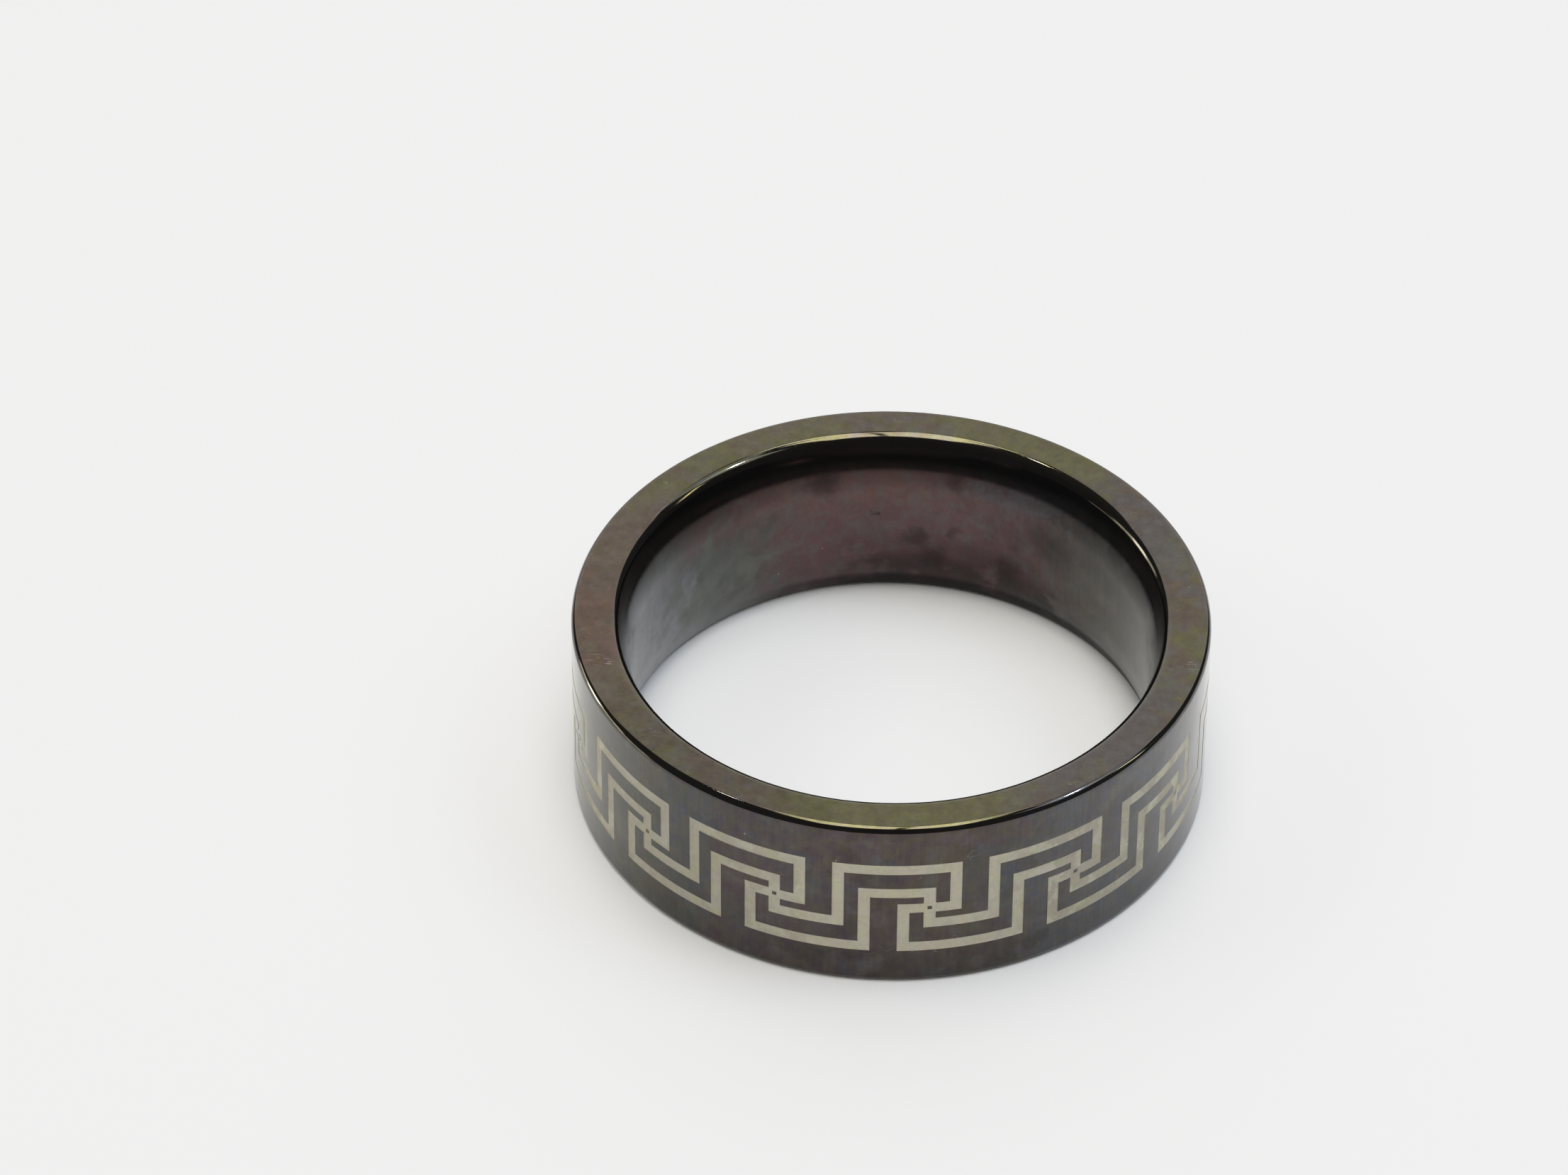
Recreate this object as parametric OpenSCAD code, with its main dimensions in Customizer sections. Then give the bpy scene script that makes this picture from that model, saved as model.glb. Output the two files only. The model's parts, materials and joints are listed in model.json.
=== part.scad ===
// Comfort-fit band ring, engraved all round with a Greek key.
// It lies on one end face: the axis is Z, and the middle of that face is the origin.
// Millimetres.

/* [Band] */
// Bore diameter at the middle of the band, which sets the finger size
bore_d = 20.6; // [19:0.4:22.6]
// Wall from the bore to the outside
wall = 2.3; // [1.9:0.05:3]
// Width of the band along the finger
band_w = 8; // [6.5:0.1:9]

/* [Edges] */
// Round on the two outer rims
rim_r = 0.3; // [0.05:0.01:0.35]
// Round where the bore meets an end face
lip_r = 0.55; // [0.3:0.01:0.8]

/* [Comfort fit] */
// Width of the straight land in the middle of the bore
land_w = 3; // [2:0.1:4]
// How far each end face starts outside the bore, which sets how much the bore opens
flare = 0.94; // [0.85:0.01:1.2]

/* [Greek key] */
// Repeats of the key round the band
key_repeats = 13; // [10:1:15]
// Turn of the first crossing from the front
key_turn = 7.7; // [0:0.1:36]
// How far the middle of the key sits below the middle of the band
key_drop = 0.08; // [0:0.01:0.2]
// Width of an engraved line
line_w = 0.46; // [0.3:0.01:0.5]
// Depth of an engraved line
line_depth = 0.04; // [0.03:0.01:0.15]
// Outer lines, above and below the middle of the key
outer_line = 2.01; // [1.9:0.01:2.2]
// Inner lines, above and below the middle of the key
inner_line = 0.8; // [0.75:0.01:0.95]
// Side of the plain spot left where two lines cross
spot = 0.18; // [0.1:0.01:0.25]

/* [Hidden] */
$fn = 360;
bore_r = bore_d / 2;
band_r = bore_r + wall;
half_w = band_w / 2;
half_land = land_w / 2;
// Centre of the lip's round, which touches the end face and the comfort arc
lip_x = bore_r + flare;
lip_z = half_w - lip_r;
// The comfort arc leaves the land straight and runs into the lip's round without a corner
lip_rise = lip_z - half_land;
arc_in = flare - lip_r;
comfort_r = (pow(lip_rise, 2) + pow(arc_in, 2)) / (2 * arc_in) + lip_r;
touch_z = half_land + comfort_r * lip_rise / (comfort_r - lip_r);
// A repeat of the key is charted in this many columns
key_columns = 12;
repeat_angle = 360 / key_repeats;
column_angle = repeat_angle / key_columns;
half_line = line_w / 2;
half_line_angle = half_line / band_r * 180 / PI;
floor_corner_r = (band_r - line_depth) / cos(column_angle / 2);
// How far a cutter stands out of the wall that it cuts
cut_clear = 0.5;

// One arm of the key, from the crossing at column 0 round to the crossing of the repeat before.
// Lines that run round the band:
arm_rows = [
    // from column, to column, height
    [0, 2, 0],
    [-7, 2, outer_line],
    [-key_columns, -7, -inner_line],
];
// Lines that run across the band:
arm_posts = [
    // column, from height, to height
    [2, 0, outer_line],
    [-7, -inner_line, outer_line],
    // The last one stops at the edge of the line that it meets
    [-key_columns, -inner_line, -line_w],
];

// Section of the band above its middle plane: x is the radius
module half_section() {
    // Straight land
    translate([bore_r, 0]) square([wall, half_land]);
    // Comfort arc
    intersection() {
        translate([bore_r + comfort_r, half_land]) circle(comfort_r);
        translate([bore_r, half_land]) square([wall - rim_r, touch_z - half_land]);
    }
    // Lip
    intersection() {
        translate([lip_x, lip_z]) circle(lip_r);
        translate([bore_r, touch_z]) square([wall - rim_r, half_w - touch_z]);
    }
    // End face
    translate([lip_x, lip_z]) square([wall - flare - rim_r, lip_r]);
    // Outer wall and rim
    translate([band_r - rim_r, 0]) square([rim_r, half_w - rim_r]);
    translate([band_r - rim_r, half_w - rim_r]) circle(rim_r);
}

module plain_band() {
    rotate_extrude() {
        half_section();
        mirror([0, 1]) half_section();
    }
}

// A line of the key, flat: its ends are where these angles fall on a plane that faces the front
module key_line(from_angle, to_angle, from_z, to_z) {
    translate([band_r * sin(from_angle), from_z])
        square([band_r * (sin(to_angle) - sin(from_angle)), to_z - from_z]);
}

// One arm of the key, flat
module key_arm() {
    for (row = arm_rows)
        key_line(row[0] * column_angle, row[1] * column_angle,
            row[2] - half_line, row[2] + half_line);
    for (post = arm_posts)
        key_line(post[0] * column_angle - half_line_angle, post[0] * column_angle + half_line_angle,
            post[1] - half_line, post[2] + half_line);
}

// Both arms of a crossing: the second is the first turned end for end
module key_outline() {
    difference() {
        union() {
            key_arm();
            rotate(180) key_arm();
        }
        square(spot, center = true);
    }
}

// Section of the band under the lines: each floor is flat strips, one to a column
module floor_outline() {
    polygon([for (column = [0 : key_columns * key_repeats - 1])
        let (corner_angle = (column + 0.5) * column_angle)
            floor_corner_r * [sin(corner_angle), -cos(corner_angle)]]);
}

// Cutter for one crossing at the front, with both its arms
module key_cutter() {
    difference() {
        rotate([90, 0, 0]) linear_extrude(band_r + cut_clear) key_outline();
        linear_extrude(band_w, center = true) floor_outline();
    }
}

// The band with this many repeats of the key cut into it, one after another
module engraved_band(repeats) {
    if (repeats == 0)
        plain_band();
    else
        difference() {
            engraved_band(repeats - 1);
            rotate([0, 0, key_turn + repeats * repeat_angle])
                translate([0, 0, -key_drop]) key_cutter();
        }
}

module band() {
    color("#3a3130")
        translate([0, 0, half_w]) engraved_band(key_repeats);
}

band();
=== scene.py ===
# Dark comfort-fit band ring with an engraved key, lying on a pale table
import json
import math

import bpy
from mathutils import Matrix, Vector


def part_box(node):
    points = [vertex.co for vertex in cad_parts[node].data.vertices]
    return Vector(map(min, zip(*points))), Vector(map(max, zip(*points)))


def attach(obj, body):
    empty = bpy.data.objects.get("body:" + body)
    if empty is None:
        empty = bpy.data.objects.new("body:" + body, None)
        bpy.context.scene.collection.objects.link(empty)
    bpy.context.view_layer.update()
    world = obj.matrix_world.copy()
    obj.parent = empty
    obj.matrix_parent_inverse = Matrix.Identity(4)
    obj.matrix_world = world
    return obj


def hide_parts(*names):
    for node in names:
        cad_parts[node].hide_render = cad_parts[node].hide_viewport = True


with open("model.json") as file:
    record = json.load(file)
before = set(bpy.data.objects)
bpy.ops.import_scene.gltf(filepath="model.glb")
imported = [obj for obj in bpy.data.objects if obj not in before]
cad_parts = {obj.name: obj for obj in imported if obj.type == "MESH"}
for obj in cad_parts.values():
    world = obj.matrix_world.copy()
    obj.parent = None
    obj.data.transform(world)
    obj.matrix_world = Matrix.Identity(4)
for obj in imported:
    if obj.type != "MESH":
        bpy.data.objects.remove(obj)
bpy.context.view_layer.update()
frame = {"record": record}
mm = 0.001


# Node trees

class Wire:
    # A socket of a node tree that can stand in a sum
    def __init__(self, maker, socket):
        self.maker = maker
        self.socket = socket

    def __add__(self, other):
        return self.maker.math("ADD", self, other)

    def __sub__(self, other):
        return self.maker.math("SUBTRACT", self, other)

    def __rsub__(self, other):
        return self.maker.math("SUBTRACT", other, self)

    def __mul__(self, other):
        return self.maker.math("MULTIPLY", self, other)

    def __truediv__(self, other):
        return self.maker.math("DIVIDE", self, other)

    def __rtruediv__(self, other):
        return self.maker.math("DIVIDE", other, self)

    def __gt__(self, other):
        return self.maker.math("GREATER_THAN", self, other)

    __radd__ = __add__
    __rmul__ = __mul__


class NodeMaker:
    # Adds nodes to one tree, for materials, the world and geometry alike
    def __init__(self, tree):
        self.tree = tree

    def node(self, kind, settings=None, sockets=None, out=0):
        made = self.tree.nodes.new(kind)
        for name, value in (settings or {}).items():
            setattr(made, name, value)
        for name, value in (sockets or {}).items():
            self.feed(made.inputs[name], value)
        return Wire(self, made.outputs[out]) if made.outputs else made

    def feed(self, socket, value):
        if isinstance(value, Wire):
            self.tree.links.new(value.socket, socket)
        else:
            socket.default_value = value

    def math(self, operation, first, second=0.0):
        return self.node("ShaderNodeMath", {"operation": operation}, {0: first, 1: second})

    def other(self, wire, name):
        # Another output of the node that this wire comes from
        return Wire(self, wire.socket.node.outputs[name])

    def vectorMath(self, operation, first, second=(0, 0, 0), out=0):
        return self.node("ShaderNodeVectorMath", {"operation": operation}, {0: first, 1: second}, out)

    def stretch(self, vector, x, y, z):
        return self.vectorMath("MULTIPLY", vector, (x, y, z))

    def shift(self, vector, x, y, z):
        return self.vectorMath("ADD", vector, (x, y, z))

    def placeInMillimetres(self):
        return self.stretch(self.node("ShaderNodeTexCoord", out=3), 1 / mm, 1 / mm, 1 / mm)

    def noise(self, vector, scale, detail=3.0, roughness=0.5, distortion=0.0):
        return self.node("ShaderNodeTexNoise", None, {
            "Vector": vector, "Scale": scale, "Detail": detail,
            "Roughness": roughness, "Distortion": distortion,
        })

    def smoothStep(self, value, low, high):
        return self.node("ShaderNodeMapRange", {"interpolation_type": "SMOOTHSTEP"},
                         {"Value": value, "From Min": low, "From Max": high})

    def cloud(self, place, apart, scale, detail, roughness, distortion, low, high):
        # Soft patches of noise, from none at the low value to full at the high one
        noise = self.noise(self.shift(place, *apart), scale, detail, roughness, distortion)
        return self.smoothStep(noise, low, high)

    def mixColour(self, share, first, second, blend="MIX"):
        made = self.node("ShaderNodeMix", {"data_type": "RGBA", "blend_type": blend}, {0: share})
        mix = made.socket.node
        self.feed(mix.inputs[6], first)
        self.feed(mix.inputs[7], second)
        return Wire(self, mix.outputs[2])

    def shaded(self, colour, shade):
        grey = self.node("ShaderNodeCombineColor", None, {0: shade, 1: shade, 2: shade})
        return self.mixColour(1.0, colour, grey, "MULTIPLY")


# The key

key = {
    "repeats": 13,
    "columns": 12,              # a repeat is charted in this many columns
    "turn": math.radians(7.7),  # from the front to the first crossing
    "drop": 0.08 * mm,          # the key's middle below the band's middle
    "lineWidth": 0.46 * mm,
    "lineDepth": 0.015 * mm,    # a laser takes off little more than the coat
    "outerLine": 2.01 * mm,     # above and below the key's middle
    "innerLine": 0.8 * mm,
    "spot": 0.18 * mm,          # the plain spot where two lines cross
    "lean": 0.004 * mm,         # half of how far a line's side leans
    "longestStep": 0.5,         # columns, which keeps the band round
    "weld": 0.0004 * mm,        # places closer than this are one
}

# One arm, from the crossing at column 0 round to the crossing of the repeat before
armRows = [
    # from column, to column, height
    (0, 2, 0),
    (-7, 2, key["outerLine"]),
    (-key["columns"], -7, -key["innerLine"]),
]
armPosts = [
    # column, from height, to height
    (2, 0, key["outerLine"]),
    (-7, -key["innerLine"], key["outerLine"]),
    (-key["columns"], -key["innerLine"], 0),
]


def turned(low, high):
    # The same span with the chart turned end for end
    return -high, -low


def keyBoxes(halfColumn):
    # Each line of one crossing as a box: columns, then heights
    half = key["lineWidth"] / 2
    boxes = [((a - halfColumn, b + halfColumn), (h - half, h + half)) for a, b, h in armRows]
    boxes += [((c - halfColumn, c + halfColumn), (a - half, b + half)) for c, a, b in armPosts]
    boxes += [(turned(*columns), turned(*heights)) for columns, heights in boxes]
    return boxes


def isEngraved(column, height, boxes, halfSpot):
    if abs(column) < halfSpot and abs(height) < key["spot"] / 2:
        return False
    # The arms of the crossings before and after reach into this repeat
    for repeat in (-1, 0, 1):
        at = column + repeat * key["columns"]
        if any(a < at < b and c < height < d for (a, b), (c, d) in boxes):
            return True
    return False


def postColumns():
    # Where the posts stand in one repeat, from its middle, with the chart turned end for end too
    half = key["columns"] / 2
    return {(sign * column + half) % key["columns"] - half for column, _, _ in armPosts for sign in (-1, 1)}


def breaksAt(edges, lean, low, high, longest):
    # Two places at each edge, a lean to either side of it, and even steps between them
    places = sorted({low, high} | {edge + side for edge in edges for side in (-lean, lean)})
    places = [place for place in places if low <= place <= high]
    filled = [places[0]]
    for start, end in zip(places, places[1:]):
        steps = max(1, math.ceil(round((end - start) / longest, 6)))
        filled += [start + (end - start) * step / steps for step in range(1, steps + 1)]
    return filled


# The band

bore = next(mount for mount in frame["record"]["mounts"] if mount["name"] == "finger_bore")
bandLow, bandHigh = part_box("band")
band = {
    "outerRadius": bandHigh.x,
    "width": bandHigh.z - bandLow.z,
    "boreRadius": bore["dims"]["r_mm"] * mm,
    "landWidth": bore["dims"]["length_mm"] * mm,
    "rimRound": 0.3 * mm,
    "lipRound": 0.55 * mm,
    "flare": 0.94 * mm,         # how far an end face starts outside the bore
    "rimSteps": 10,
    "lipSteps": 16,
    "comfortSteps": 18,
    "faceSteps": 3,
    "landSteps": 4,
    "wallStep": 0.25 * mm,
}


def arcPoints(centre, radius, start, end, steps):
    # Places on an arc of the section with the way that the surface faces there
    points = []
    for step in range(steps + 1):
        angle = start + (end - start) * step / steps
        facing = (math.cos(angle), math.sin(angle))
        points.append((centre[0] + radius * facing[0], centre[1] + radius * facing[1], *facing))
    return points


def linePoints(start, end, steps, facing):
    return [(start[0] + (end[0] - start[0]) * step / steps,
             start[1] + (end[1] - start[1]) * step / steps, *facing) for step in range(steps + 1)]


def upperSection():
    # Half of the section, from the middle of the bore over the top to the wall: radius, height, facing
    half = band["width"] / 2
    halfLand = band["landWidth"] / 2
    lip = band["lipRound"]
    rim = band["rimRound"]
    lipX = band["boreRadius"] + band["flare"]
    lipZ = half - lip
    # The comfort arc leaves the land straight and meets the lip's round without a corner
    rise = lipZ - halfLand
    inward = band["flare"] - lip
    comfort = (rise ** 2 + inward ** 2) / (2 * inward) + lip
    meet = math.asin(rise / (comfort - lip))
    points = linePoints((band["boreRadius"], 0), (band["boreRadius"], halfLand), band["landSteps"], (-1, 0))
    # The land and the arcs face the axis, so their angles run down from a half turn
    points += arcPoints((band["boreRadius"] + comfort, halfLand), comfort,
                        math.pi, math.pi - meet, band["comfortSteps"])[1:]
    points += arcPoints((lipX, lipZ), lip, math.pi - meet, math.pi / 2, band["lipSteps"])[1:]
    points += linePoints((lipX, half), (band["outerRadius"] - rim, half), band["faceSteps"], (0, 1))[1:]
    points += arcPoints((band["outerRadius"] - rim, half - rim), rim, math.pi / 2, 0, band["rimSteps"])[1:]
    return points


def wholeSection():
    # The closed section, from the middle of the bore over the top and back under the bottom
    upper = upperSection()
    middle = band["width"] / 2
    keyMiddle = -key["drop"]
    half = key["lineWidth"] / 2
    rows = [sign * height + side for sign in (-1, 1) for side in (-half, half)
            for height in (0, key["innerLine"], key["outerLine"])]
    rows += [-key["spot"] / 2, key["spot"] / 2]
    wallTop = upper[-1][1]
    heights = breaksAt([keyMiddle + row for row in rows], key["lean"], -wallTop, wallTop, band["wallStep"])
    wall = [(band["outerRadius"], height, 1, 0) for height in reversed(heights)]
    lower = [(radius, -height, outward, -up) for radius, height, outward, up in reversed(upper)]
    closed = upper[:-1] + wall + lower[1:-1]
    return [(radius, height + middle, outward, up) for radius, height, outward, up in closed]


def straightRepeat():
    # One repeat of the band as a straight bar: columns along X, radius on Y, height on Z
    columnWidth = 2 * math.pi * band["outerRadius"] / key["repeats"] / key["columns"]
    halfColumn = key["lineWidth"] / 2 / columnWidth
    halfSpot = key["spot"] / 2 / columnWidth
    boxes = keyBoxes(halfColumn)
    edges = [column + side for column in postColumns() for side in (-halfColumn, halfColumn)]
    columns = breaksAt(edges + [-halfSpot, halfSpot], key["lean"] / columnWidth,
                       -key["columns"] / 2, key["columns"] / 2, key["longestStep"])
    section = wholeSection()
    keyMiddle = band["width"] / 2 - key["drop"]
    places, facings, depths = [], [], []
    for column in columns:
        for radius, height, outward, up in section:
            onWall = outward == 1
            cut = onWall and isEngraved(column, height - keyMiddle, boxes, halfSpot)
            places.append((column, radius, height))
            facings.append((outward, up, 0))
            depths.append(1.0 if cut else 0.0)
    count = len(section)
    faces = []
    for start in range(0, len(places) - count, count):
        for row in range(count):
            after = (row + 1) % count
            faces.append((start + row, start + after, start + count + after, start + count + row))
    mesh = bpy.data.meshes.new("straightRepeat")
    mesh.from_pydata(places, [], faces)
    mesh.attributes.new("facing", "FLOAT_VECTOR", "POINT").data.foreach_set(
        "vector", [number for facing in facings for number in facing])
    mesh.attributes.new("engraved", "FLOAT", "POINT").data.foreach_set("value", depths)
    return mesh


def wrapTree():
    # Bends the bar round the axis, sinks the lines and sets the repeats side by side all round
    tree = bpy.data.node_groups.new("wrapRepeats", "GeometryNodeTree")
    inputs = {}
    tree.interface.new_socket("Geometry", in_out="INPUT", socket_type="NodeSocketGeometry")
    for name, kind in (("Repeats", "NodeSocketInt"), ("Columns", "NodeSocketInt"),
                       ("First Crossing", "NodeSocketFloat"), ("Line Depth", "NodeSocketFloat"),
                       ("Weld Distance", "NodeSocketFloat"), ("Coat", "NodeSocketMaterial"),
                       ("Bare Metal", "NodeSocketMaterial")):
        inputs[name] = tree.interface.new_socket(name, in_out="INPUT", socket_type=kind).identifier
    tree.interface.new_socket("Geometry", in_out="OUTPUT", socket_type="NodeSocketGeometry")
    make = NodeMaker(tree)
    given = make.node("NodeGroupInput")
    repeats = make.other(given, "Repeats")
    repeatAngle = math.tau / repeats

    place = make.node("ShaderNodeSeparateXYZ", None, {0: make.node("GeometryNodeInputPosition")})
    engraved = make.node("GeometryNodeInputNamedAttribute", {"data_type": "FLOAT"}, {"Name": "engraved"})
    radius = make.other(place, "Y") - engraved * make.other(given, "Line Depth")
    angle = place * repeatAngle / make.other(given, "Columns")
    bent = make.node("ShaderNodeCombineXYZ", None, {
        "X": radius * make.math("SINE", angle),
        "Y": radius * make.math("COSINE", angle) * -1,
        "Z": make.other(place, "Z"),
    })
    repeat = make.node("GeometryNodeSetPosition", None, {"Geometry": given, "Position": bent})

    # A line is bare metal and its sides are too, so one sunk corner of a face is enough
    lines = make.node("GeometryNodeFieldOnDomain", {"data_type": "FLOAT", "domain": "FACE"}, {0: engraved})
    repeat = make.node("GeometryNodeStoreNamedAttribute", {"data_type": "BOOLEAN", "domain": "FACE"},
                       {"Geometry": repeat, "Name": "bare", "Value": lines > 0.1})

    turn = make.node("GeometryNodeInputIndex") * repeatAngle + make.other(given, "First Crossing")
    around = make.node("ShaderNodeCombineXYZ", None, {"Z": turn})
    centres = make.node("GeometryNodePoints", None, {"Count": repeats})
    ring = make.node("GeometryNodeInstanceOnPoints", None, {
        "Points": centres,
        "Instance": repeat,
        "Rotation": make.node("FunctionNodeEulerToRotation", None, {"Euler": around}),
    })
    ring = make.node("GeometryNodeRealizeInstances", None, {"Geometry": ring})
    ring = make.node("GeometryNodeMergeByDistance", None,
                     {"Geometry": ring, "Distance": make.other(given, "Weld Distance")})
    ring = make.node("GeometryNodeSetShadeSmooth", {"domain": "FACE"},
                     {"Geometry": ring, "Shade Smooth": True})
    ring = make.node("GeometryNodeSetMaterial", None,
                     {"Geometry": ring, "Material": make.other(given, "Coat")})
    bare = make.node("GeometryNodeInputNamedAttribute", {"data_type": "BOOLEAN"}, {"Name": "bare"})
    ring = make.node("GeometryNodeSetMaterial", None,
                     {"Geometry": ring, "Selection": bare, "Material": make.other(given, "Bare Metal")})
    make.node("NodeGroupOutput", None, {"Geometry": ring})
    return tree, inputs


def setTrueNormals(mesh):
    # The coat is a mirror, so each corner takes the facing of the true section and not of the faces
    facing = mesh.attributes["facing"].data
    depth = mesh.attributes["engraved"].data
    normals = [None] * len(mesh.loops)
    for face in mesh.polygons:
        cut = [depth[index].value > 0.5 for index in face.vertices]
        isSide = any(cut) and not all(cut)
        for loop in face.loop_indices:
            index = mesh.loops[loop].vertex_index
            place = mesh.vertices[index].co
            outward, up, _ = facing[index].vector
            reach = math.hypot(place.x, place.y)
            facingOut = (outward * place.x / reach, outward * place.y / reach, up)
            normals[loop] = face.normal if isSide else facingOut
    mesh.normals_split_custom_set(normals)


def makeBand(coat, bareMetal):
    source = bpy.data.objects.new("bandSource", straightRepeat())
    bpy.context.scene.collection.objects.link(source)
    tree, inputs = wrapTree()
    wrap = source.modifiers.new("wrap", "NODES")
    wrap.node_group = tree
    wrap[inputs["Repeats"]] = key["repeats"]
    wrap[inputs["Columns"]] = key["columns"]
    wrap[inputs["First Crossing"]] = key["turn"]
    wrap[inputs["Line Depth"]] = key["lineDepth"]
    wrap[inputs["Weld Distance"]] = key["weld"]
    wrap[inputs["Coat"]] = coat
    wrap[inputs["Bare Metal"]] = bareMetal
    graph = bpy.context.evaluated_depsgraph_get()
    mesh = bpy.data.meshes.new_from_object(source.evaluated_get(graph), depsgraph=graph)
    source.modifiers.remove(wrap)
    bpy.data.objects.remove(source)
    setTrueNormals(mesh)
    piece = bpy.data.objects.new("band_ring", mesh)
    bpy.context.scene.collection.objects.link(piece)
    return piece


# Materials

def newMaterial(name):
    material = bpy.data.materials.new(name)
    material.use_nodes = True
    material.node_tree.nodes.clear()
    return material, NodeMaker(material.node_tree)


def finishMaterial(make, shader):
    make.node("ShaderNodeOutputMaterial", None, {"Surface": shader})


def roundAxis(make, place):
    # The height of each place, its distance from the axis, and the way out to it
    split = make.node("ShaderNodeSeparateXYZ", None, {0: place})
    x, y = split, make.other(split, "Y")
    reach = make.math("SQRT", x * x + y * y)
    return make.other(split, "Z"), reach, (x / reach, y / reach)


def bearingMask(make, wayOut, ragged, degrees, inner, outer):
    # 1 within so many degrees of a bearing, 0 past the outer limit, with a ragged edge
    angle = math.radians(degrees)
    alike = wayOut[0] * math.sin(angle) - wayOut[1] * math.cos(angle) + ragged
    return make.smoothStep(alike, math.cos(math.radians(outer)), math.cos(math.radians(inner)))


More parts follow.
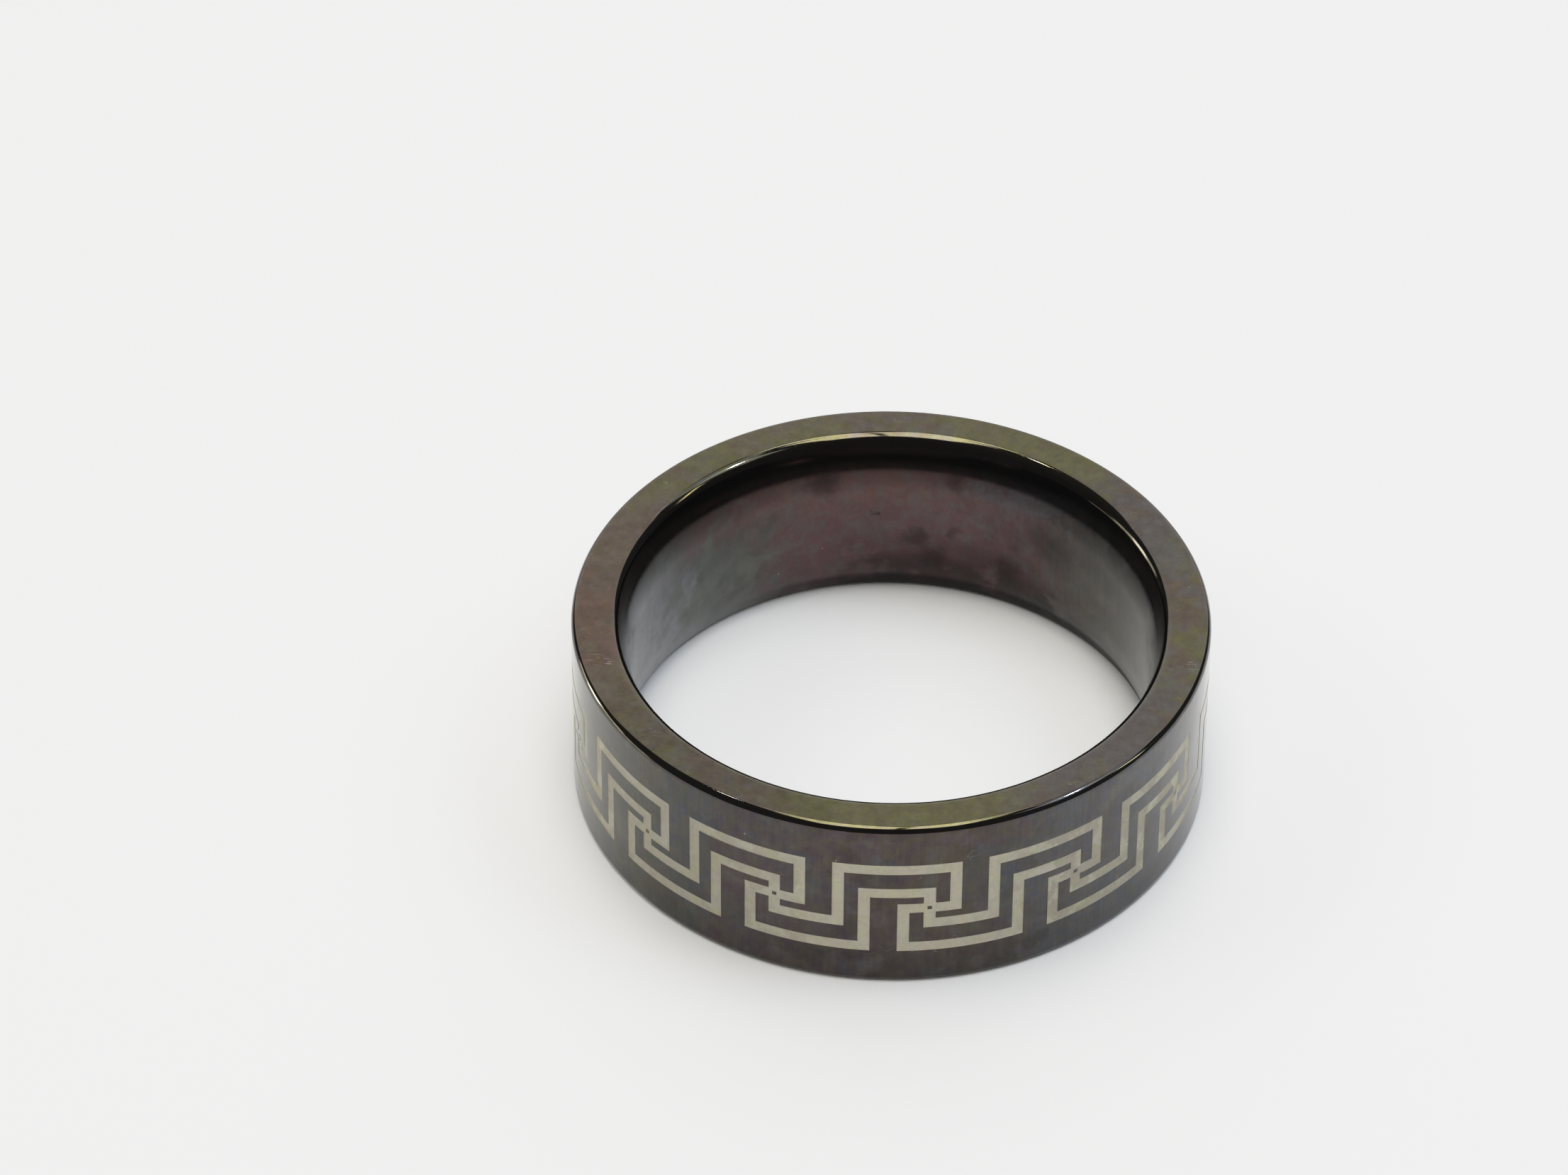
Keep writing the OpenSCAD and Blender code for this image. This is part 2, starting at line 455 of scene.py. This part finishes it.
coat = {
    # What the coat sends back, head on. Its film is uneven and so it turns from olive to violet
    "olive": (0.101, 0.097, 0.047),
    "brown": (0.098, 0.078, 0.058),
    "grey": (0.082, 0.08, 0.077),
    "violet": (0.08, 0.06, 0.069),
    "blue": (0.066, 0.07, 0.086),
    "green": (0.077, 0.084, 0.074),
    "wine": (0.095, 0.057, 0.058),
    "rust": (0.104, 0.062, 0.046),
    "lavender": (0.088, 0.091, 0.102),
    "silver": (0.125, 0.13, 0.142),
    "scuffed": (0.34, 0.31, 0.27),
    # a near-black matte colour painted over the lower lip as shadow
    "paintedShadow": (0.006, 0.005, 0.005),
    # distances from the axis over which the bore ends, the wall starts and the lower lip ends
    "boreEnds": (10.75, 11.0),
    "wallStarts": (12.4, 12.57),
    "lipEnds": (11.2, 11.6),
    "polished": 0.05,           # roughness of the end faces, lips and rims
    "brushed": 0.09,            # of the wall
    "boreGloss": 0.17,          # and of the bore
    "haze": 0.03,               # how much rougher the small patches of tint are
    "grain": 0.28,              # how much the shade changes with the fine grain
    "streaks": 0.4,             # and with the polishing streaks
    "mottle": 0.75,             # and with the mottle of the end faces
    "ragged": 0.4,              # how far the tints' edges wander
    "smudgeAndShadeCore": 0.15,         # the part of a mark's size that has its full strength
    "scuffCore": 0.2,
    # how much of the painted shadow covers the lower lip
    "paintedShadowStrength": 0.64,
    "scratchWidth": (0.0022, 0.0008),   # of the noise, for none and full
    "speckSize": (0.05, 0.02),
    "speckShare": 0.14,         # of the cells have a speck
    "bumpStrength": 0.35,
    "bumpDistance": 0.002 * mm,
    "grainHeight": 0.25,        # of the bump's distance, as the next three are
    "streakHeight": 0.4,
    "waveHeight": 2,
    "scratchDepth": 0.3,
    # patches of noise: shift, scale, detail, roughness, distortion, and the values for none and full
    "broad": ((0, 0, 0), 0.35, 3, 0.55, 0.3, 0.42, 0.58),
    "middling": ((0, 0, 0), 1.1, 4, 0.6, 0.5, 0.4, 0.62),
    "small": ((7, 3, 5), 3.2, 4, 0.6, 0, 0.38, 0.64),
    "spread": ((2, 9, 4), 1.7, 4, 0.65, 0, 0.44, 0.6),
    "sparse": ((31, 12, 4), 0.9, 2, 0.5, 0, 0.56, 0.66),
    # bearing from the front to the right, degrees to full strength and to none
    "brushedBore": (130, 10, 34),
    "dullEnd": (-38, 14, 34),
    # the same, and the heights for none and full
    "wineTop": (-143, 12, 26, 4.2, 5.6),
    "silverTop": (150, 6, 14, 5.3, 6.0),
    "rustTop": (-172, 16, 34, 3.5, 6.2),
    "roughFoot": (-98, 12, 34, 6, 4.6),
    # where the painted shadow lies on the lower lip
    "paintedShadowFoot": (150, 34, 70, 1.15, 0.72),
    # heights over which the comfort arc takes painted shade, and over which it grows glossier, towards the
    # upper lip
    "paintedShadeTop": (5.4, 6.3),
    "glossyTop": (4.6, 5.8),
    # bearing, degrees to full strength and to none, strength
    "endZones": [
        ("olive", 0, 12, 32, 0.85),
        ("grey", 48, 12, 26, 0.6),
        ("grey", 118, 10, 22, 0.7),
        ("olive", 152, 8, 22, 0.8),
        ("olive", -150, 10, 30, 0.5),
        ("brown", -90, 16, 40, 0.85),
        ("rust", -84, 3, 14, 0.5),
    ],
    "wallZones": [
        ("lavender", 52, 16, 36, 0.7),
        ("brown", 6, 6, 22, 0.3),
        ("violet", -12, 8, 22, 0.6),
        ("green", -62, 10, 30, 0.6),
    ],
    "boreZones": [
        ("wine", 178, 26, 52, 1.0),
        ("green", -126, 14, 32, 0.8),
        ("silver", -104, 8, 26, 0.9),
        ("brown", 120, 14, 30, 0.45),
    ],
    # bearing, degrees to full strength and to none, a height, another, and how much lighter
    # the coat is painted at the first and at the second: painted light and shade that follow what it
    # mirrors
    "paintedBoreShade": [
        (112, 8, 18, 5.4, 6.2, 0, -0.25),
        (164, 12, 24, 2.7, 1.6, 0, -0.4),
        (166, 18, 28, 3.9, 2.4, 0, -0.22),
        (120, 14, 28, 1.8, 1.2, 0, -0.52),
        (106, 8, 20, 1.7, 1.2, 0, -0.35),
        (142, 10, 26, 0, 8, -0.12, -0.12),
        (-126, 10, 24, 4.8, 2.8, -0.16, 0.24),
        (120, 16, 28, 3.9, 4.9, 0, -0.18),
        (108, 8, 16, 3.4, 2.2, 0, 0.28),
    ],
    "paintedWallShade": [
        (-24, 8, 24, 0, 8, -0.1, -0.1),
        (9, 6, 20, 0, 8, -0.14, -0.14),
        (-72, 10, 24, 5.0, 2.0, -0.08, 0.18),
        (66, 10, 22, 3.0, 5.5, -0.1, 0.16),
        (3, 14, 30, 2.2, 1.0, 0, -0.17),
    ],
    # bearing, height, size, strength: dark marks inside the bore, partly smudges and partly painted shade
    # where the bore mirrors shadow
    "smudgesAndShade": [
        (-176, 4.3, 0.22, 0.7),
        (175, 3.1, 0.8, 0.45),
        (171, 2.3, 0.9, 0.4),
        (166, 3.6, 0.45, 0.3),
        (153, 2.4, 1.0, 0.45),
        (141, 4.6, 1.7, 0.4),
        (150, 4.0, 0.8, 0.25),
        (-131, 3.6, 0.5, 0.25),
        (-164, 6.2, 1.1, 0.5),
        (166, 6.3, 0.7, 0.35),
    ],
    # bearing, radius, size, strength: where the upper end face is scuffed
    "scuffs": [
        (-74, 11.45, 0.4, 0.6),
        (-75, 12.0, 0.7, 0.25),
        (-83, 12.2, 0.5, 0.2),
        (76, 12.1, 0.5, 0.35),
        (36, 11.9, 0.3, 0.5),
        (-52, 11.8, 0.6, 0.2),
    ],
}


def darkCoat():
    material, make = newMaterial("darkCoat")
    place = make.placeInMillimetres()
    z, reach, wayOut = roundAxis(make, place)
    ragged = (make.noise(place, 0.9, 4) - 0.5) * coat["ragged"]
    bore = 1 - make.smoothStep(reach, *coat["boreEnds"])
    wall = make.smoothStep(reach, *coat["wallStarts"])
    endFace = (1 - wall) * (1 - bore)

    def nearBearing(degrees, inner, outer):
        return bearingMask(make, wayOut, ragged, degrees, inner, outer)

    def patch(name):
        bearing, inner, outer, none, full = coat[name]
        return nearBearing(bearing, inner, outer) * make.smoothStep(z, none, full)

    def tinted(name, share, under):
        return make.mixColour(share, under, (*coat[name], 1))

    def inZones(zones, under):
        for name, bearing, inner, outer, strength in coat[zones]:
            under = tinted(name, nearBearing(bearing, inner, outer) * strength, under)
        return under

    # Paints light and shade on the coat from one of the tables of painted shade
    def inPaintedShade(shades, part, under):
        for bearing, inner, outer, first, second, atFirst, atSecond in coat[shades]:
            change = make.smoothStep(z, first, second) * (atSecond - atFirst) + atFirst
            under = under * (1 + part * nearBearing(bearing, inner, outer) * change)
        return under

    # Cloudy patches of tint
    broad, middling, small, spread, sparse = (
        make.cloud(place, *coat[name]) for name in ("broad", "middling", "small", "spread", "sparse"))
    endTint = tinted("grey", middling * 0.6, tinted("brown", broad, (*coat["olive"], 1)))
    endTint = tinted("violet", small * 0.3, inZones("endZones", endTint))
    wallTint = tinted("grey", middling * 0.5, tinted("blue", broad, (*coat["violet"], 1)))
    wallTint = tinted("olive", spread * 0.3, inZones("wallZones", wallTint))
    wallTint = tinted("brown", small * 0.3, wallTint)
    boreTint = inZones("boreZones", tinted("green", middling, (*coat["grey"], 1)))
    boreTint = tinted("wine", patch("wineTop") * 0.8, boreTint)
    boreTint = tinted("grey", spread * 0.5, boreTint)
    boreTint = tinted("silver", patch("silverTop") * 0.4, boreTint)
    boreTint = tinted("rust", small * patch("rustTop") * 0.5, boreTint)
    tint = make.mixColour(bore, make.mixColour(wall, endTint, wallTint), boreTint)

    # Fine grain everywhere, and polishing streaks across the wall and in the bore
    grain = make.noise(place, 9.0, 3, 0.7)
    streaks = make.noise(make.stretch(place, 1, 1, 0.06), 7.0, 3, 0.6)
    brushed = make.math("MAXIMUM", wall, bore * nearBearing(*coat["brushedBore"]))
    shade = 1 + (grain - 0.5) * coat["grain"] + (middling - 0.5) * 0.1
    shade = shade + (streaks - 0.5) * brushed * coat["streaks"]
    mottled = make.noise(make.shift(place, 4, 8, 1), 2.4, 5, 0.7) - 0.5
    shade = shade + endFace * (mottled * coat["mottle"] - nearBearing(*coat["dullEnd"]) * 0.14)
    # Painted shade: the comfort arc is darker towards the upper lip, next to the dark band that it mirrors
    # there
    shade = shade * (1 - bore * make.smoothStep(z, *coat["paintedShadeTop"]) * 0.36)
    # Painted light and shade, by bearing and height, in the bore and on the wall
    shade = inPaintedShade("paintedBoreShade", bore, shade)
    shade = inPaintedShade("paintedWallShade", wall, shade)

    # Dark marks in the bore, partly smudges and partly painted shade, and scuffs on the upper end face,
    # with edges that wander
    unrest = make.node("ShaderNodeTexNoise", None, {"Vector": place, "Scale": 1.4, "Detail": 4.0}, 1)
    wander = make.vectorMath("ADD", place, unrest)

    def markAt(bearing, radius, height, size, core, strength):
        angle = math.radians(bearing)
        # The noise has its middle at 0.5, so the wandering place is that much ahead
        centre = [at + 0.5 for at in (radius * math.sin(angle), -radius * math.cos(angle), height)]
        away = make.vectorMath("DISTANCE", wander, centre, 1)
        return make.smoothStep(away, size, size * core) * strength

    smudgedAndShaded = 0
    for bearing, height, size, strength in coat["smudgesAndShade"]:
        mark = markAt(bearing, band["boreRadius"] / mm, height, size, coat["smudgeAndShadeCore"], strength)
        smudgedAndShaded = smudgedAndShaded + mark * (1 - smudgedAndShaded)
    smudgedAndShaded = smudgedAndShaded * bore
    shade = shade * (1 - smudgedAndShaded)
    scuffed = 0
    for bearing, radius, size, strength in coat["scuffs"]:
        mark = markAt(bearing, radius, band["width"] / mm, size, coat["scuffCore"], strength)
        scuffed = make.math("MAXIMUM", scuffed, mark)
    fibres = make.smoothStep(make.noise(make.stretch(place, 1, 5, 1), 2.6, 3, 0.6), 0.52, 0.66)
    scuffed = scuffed * fibres * endFace

    # Hairline scratches on the outside, and specks of bare metal
    lines = make.math("ABSOLUTE", make.noise(make.stretch(place, 1, 1, 0.7), 0.8, 1.5) - 0.5)
    scratches = make.smoothStep(lines, *coat["scratchWidth"]) * sparse * (1 - bore)
    cells = make.node("ShaderNodeTexVoronoi", None, {"Vector": place, "Scale": 1.1, "Randomness": 1.0})
    chance = make.node("ShaderNodeSeparateColor", None, {0: make.other(cells, "Color")})
    specks = make.smoothStep(cells, *coat["speckSize"]) * (chance > 1 - coat["speckShare"])
    worn = make.math("MAXIMUM", make.math("MAXIMUM", scratches * 0.3, specks * 0.7), scuffed)

    roughness = coat["polished"] + wall * (coat["brushed"] - coat["polished"])
    roughness = roughness + bore * (coat["boreGloss"] - coat["polished"])
    roughness = roughness + small * coat["haze"] + smudgedAndShaded * 0.15 + worn * 0.2
    roughness = roughness + bore * (patch("roughFoot") - make.smoothStep(z, *coat["glossyTop"])) * 0.06
    height = grain * coat["grainHeight"] + streaks * brushed * coat["streakHeight"]
    height = height + make.noise(place, 0.7, 2) * coat["waveHeight"] - scratches * coat["scratchDepth"]
    polished = make.node("ShaderNodeBsdfPrincipled", None, {
        "Base Color": make.mixColour(worn, make.shaded(tint, shade), (*coat["scuffed"], 1)),
        "Metallic": 1.0,
        "Roughness": roughness,
        "Normal": make.node("ShaderNodeBump", None, {
            "Strength": coat["bumpStrength"], "Distance": coat["bumpDistance"], "Height": height}),
    })
    # Painted shadow: a dark matte layer over the lower lip, most of it at the back, where the lip mirrors
    # the shaded table under it
    paintedShadow = make.node("ShaderNodeBsdfPrincipled", None, {
        "Base Color": (*coat["paintedShadow"], 1),
        "Roughness": 0.9,
        "Specular IOR Level": 0.0,
    })
    paintedShadowShare = patch("paintedShadowFoot") * (1 - make.smoothStep(reach, *coat["lipEnds"])) * coat["paintedShadowStrength"]
    shader = make.node("ShaderNodeMixShader", None, {0: paintedShadowShare, 1: polished, 2: paintedShadow})
    finishMaterial(make, shader)
    return material


bare = {
    "light": (0.43, 0.412, 0.328),
    "warm": (0.42, 0.376, 0.29),
    "lime": (0.42, 0.412, 0.264),
    "rose": (0.43, 0.378, 0.335),
    "dull": (0.335, 0.318, 0.25),
    "sheen": (0.085, 0.085, 0.08),
    "sheenFrom": (0.73, 0.88),  # from face on, 0, to along the surface, 1
    "roughness": 0.5,
    "hatch": 16.0,              # laser passes a millimetre
    "ragged": 0.1,
    "bumpStrength": 0.5,
    "bumpDistance": 0.003 * mm,
    # patches of noise, as for the coat
    "patches": ((0, 0, 0), 0.9, 3, 0.6, 0, 0.4, 0.6),
    "blotches": ((0, 0, 0), 4.0, 4, 0.6, 0, 0.42, 0.7),
    "limed": ((3, 6, 2), 1.6, 3, 0.6, 0, 0.5, 0.62),
    "rosy": ((9, 1, 5), 1.3, 3, 0.6, 0, 0.52, 0.64),
    # bearing, degrees to full strength and to none, how much darker the lines are painted there: painted
    # shade at the sides, painted light at the front
    "paintedShadeZones": [
        (44, 8, 22, 0.2),
        (-42, 16, 27, 0.16),
        (0, 14, 26, -0.11),
    ],
}


def bareCarbide():
    material, make = newMaterial("bareCarbide")
    place = make.placeInMillimetres()
    _, _, wayOut = roundAxis(make, place)
    patches, blotches, limed, rosy = (
        make.cloud(place, *bare[name]) for name in ("patches", "blotches", "limed", "rosy"))
    grain = make.noise(place, 22.0, 3, 0.7)
    hatch = make.noise(make.stretch(place, 1, 1, 0.03), bare["hatch"], 1)
    colour = make.mixColour(patches, (*bare["light"], 1), (*bare["warm"], 1))
    colour = make.mixColour(limed * 0.7, colour, (*bare["lime"], 1))
    colour = make.mixColour(rosy * 0.6, colour, (*bare["rose"], 1))
    colour = make.mixColour(blotches * 0.5, colour, (*bare["dull"], 1))
    shade = 0.84 + grain * 0.28 + hatch * 0.12
    ragged = (patches - 0.5) * bare["ragged"]
    # Painted shade on the lines towards the sides, and painted light at the front
    for bearing, inner, outer, strength in bare["paintedShadeZones"]:
        shade = shade * (1 - bearingMask(make, wayOut, ragged, bearing, inner, outer) * strength)
    matte = make.node("ShaderNodeBsdfPrincipled", None, {
        "Base Color": make.shaded(colour, shade),
        "Metallic": 0.2,
        "Roughness": bare["roughness"] + (grain - 0.5) * 0.2 + blotches * 0.06,
        "Normal": make.node("ShaderNodeBump", None, {
            "Strength": bare["bumpStrength"], "Distance": bare["bumpDistance"],
            "Height": grain + hatch * 0.8}),
    })
    # Seen along the surface the engraving shines like the coat, and so it fades from sight
    sheen = make.node("ShaderNodeBsdfPrincipled", None, {
        "Base Color": (*bare["sheen"], 1),
        "Metallic": 1.0,
        "Roughness": coat["brushed"],
    })
    facing = make.node("ShaderNodeLayerWeight", None, {"Blend": 0.5}, 1)
    share = make.smoothStep(facing, *bare["sheenFrom"])
    shader = make.node("ShaderNodeMixShader", None, {0: share, 1: matte, 2: sheen})
    finishMaterial(make, shader)
    return material


ring = makeBand(darkCoat(), bareCarbide())
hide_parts("band")
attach(ring, "root")
print("band:", len(ring.data.polygons), "faces")


# The table

table = {
    "size": 3.0,
    "colour": (0.86, 0.86, 0.86),
    "roughness": 0.6,
}


def paleTable():
    material, make = newMaterial("paleTable")
    shader = make.node("ShaderNodeBsdfPrincipled", None, {
        "Base Color": (*table["colour"], 1),
        "Roughness": table["roughness"],
    })
    finishMaterial(make, shader)
    return material


def makeTable():
    half = table["size"] / 2
    mesh = bpy.data.meshes.new("table")
    corners = [(-half, -half, 0), (half, -half, 0), (half, half, 0), (-half, half, 0)]
    mesh.from_pydata(corners, [], [(0, 1, 2, 3)])
    mesh.materials.append(paleTable())
    floor = bpy.data.objects.new("table", mesh)
    bpy.context.scene.collection.objects.link(floor)


makeTable()
print("table set")


# Light and camera

camera = {
    "lens": 166.2,              # millimetres, on a sensor 36 mm wide
    "sensor": 36,
    "back": 0.2142,
    "height": 0.1957,
    "pan": math.radians(1.13),
    "tilt": math.radians(41.04),
    "roll": math.radians(0.31),
}


def placeCamera():
    made = bpy.data.objects.new("camera", bpy.data.cameras.new("camera"))
    made.data.lens = camera["lens"]
    made.data.sensor_width = camera["sensor"]
    made.data.clip_start = 0.01
    turn = (Matrix.Rotation(camera["pan"], 4, "Z")
            @ Matrix.Rotation(math.pi / 2 - camera["tilt"], 4, "X")
            @ Matrix.Rotation(camera["roll"], 4, "Z"))
    made.matrix_world = Matrix.Translation((0, -camera["back"], camera["height"])) @ turn
    bpy.context.scene.collection.objects.link(made)
    bpy.context.scene.camera = made


studio = {
    "panels": [
        # name, bearing from the camera's side to the right, elevation, width, height, brightness, colour
        ("overheadLeft", -64, 83.5, 0.126, 0.25, 5.4, (1.0, 0.985, 0.93)),
        ("overheadRight", 72, 80.7, 0.099, 0.25, 5.4, (1.0, 0.985, 0.93)),
        ("backLeft", -166.7, 70.6, 0.088, 0.127, 5.4, (1.0, 0.985, 0.93)),
        ("backRight", 162.7, 70.2, 0.065, 0.127, 5.4, (1.0, 0.985, 0.93)),
        ("behind", 180, 34, 0.84, 0.5, 1.25, (1.0, 0.99, 0.97)),
        ("keyRight", 88, 58, 0.2, 0.13, 1.7, (0.87, 0.97, 1.13)),
        ("rearRight", 124, 60, 0.2, 0.17, 1.1, (0.87, 0.97, 1.13)),
    ],
    # small lamps that show in gloss only
    "lamps": [
        ("keyCore", 95, 60.5, 0.018, 0.018, 420, (0.8, 0.93, 1.2)),
        ("lampLeft", -138, 66.5, 0.02, 0.02, 50, (0.98, 0.99, 1.03)),
        ("goldRight", 94, 38, 0.036, 0.12, 9, (0.97, 1.0, 0.62)),
        ("lowLeft", -108, 8, 0.25, 0.1, 4.5, (1.0, 0.95, 0.72)),
        ("lowLeftCore", -110, 8, 0.07, 0.12, 18, (1.0, 0.97, 0.84)),
        ("lowFar", -88, 1.5, 0.12, 0.045, 6, (1.0, 0.95, 0.72)),
    ],
    # soft light on the table and the engraved lines, which leaves no mark in the coat
    "fills": [
        ("fillFront", 0, 58, 0.3, 0.3, 2.7, (1.02, 1.0, 0.95)),
        ("fillLeft", -90, 42, 0.3, 0.15, 3.7, (1.02, 1.0, 0.94)),
        ("fillRight", 90, 52, 0.24, 0.26, 2.3, (0.87, 0.97, 1.13)),
    ],
    "reach": 0.5,
    "overheadFrom": 75,         # degrees
    "room": 0.07,
}


def addPanel(name, bearing, elevation, width, height, brightness, colour):
    # A soft panel that faces the ring
    light = bpy.data.lights.new(name, "AREA")
    light.shape = "RECTANGLE"
    light.size = width
    light.size_y = height
    light.energy = brightness * math.pi * width * height
    light.color = colour
    bearing, elevation = math.radians(bearing), math.radians(elevation)
    place = studio["reach"] * Vector((math.sin(bearing) * math.cos(elevation),
                                      -math.cos(bearing) * math.cos(elevation), math.sin(elevation)))
    panel = bpy.data.objects.new(name, light)
    # Its width stays level, and straight overhead its sides line up with the ring's front
    across = Vector((0, 0, 1)).cross(place).normalized()
    if elevation > math.radians(studio["overheadFrom"]):
        across = Vector((-1, 0, 0))
    away = place.normalized()
    upward = away.cross(across)
    panel.matrix_world = Matrix.Translation(place) @ Matrix((across, upward, away)).transposed().to_4x4()
    bpy.context.scene.collection.objects.link(panel)
    return panel


def makeRoom():
    # The room past the panels is dim, and so the camera's side is dark in the metal
    world = bpy.data.worlds.new("room")
    world.use_nodes = True
    world.node_tree.nodes.clear()
    make = NodeMaker(world.node_tree)
    room = make.node("ShaderNodeBackground", None, {"Color": (1, 1, 1, 1), "Strength": studio["room"]})
    make.node("ShaderNodeOutputWorld", None, {"Surface": room})
    bpy.context.scene.world = world


tone = {
    # scene brightness to picture brightness: the shoulder keeps the table from burning out
    "curve": [(0, 0.003), (0.2, 0.4), (0.33, 0.65), (0.47, 0.8), (0.6, 0.88), (1, 0.95)],
    "white": (2, 2, 2),
}


def setTone():
    view = bpy.context.scene.view_settings
    view.view_transform = "Standard"
    view.use_curve_mapping = True
    view.curve_mapping.white_level = tone["white"]
    curve = view.curve_mapping.curves[3]    # the one for all three colours
    curve.points[0].location = tone["curve"][0]
    curve.points[1].location = tone["curve"][-1]
    for place in tone["curve"][1:-1]:
        curve.points.new(*place)
    view.curve_mapping.update()


placeCamera()
makeRoom()
for panel in studio["panels"]:
    addPanel(*panel)
for lamp in studio["lamps"]:
    addPanel(*lamp).visible_diffuse = False
for fill in studio["fills"]:
    addPanel(*fill).visible_glossy = False
setTone()
print("light and camera set")
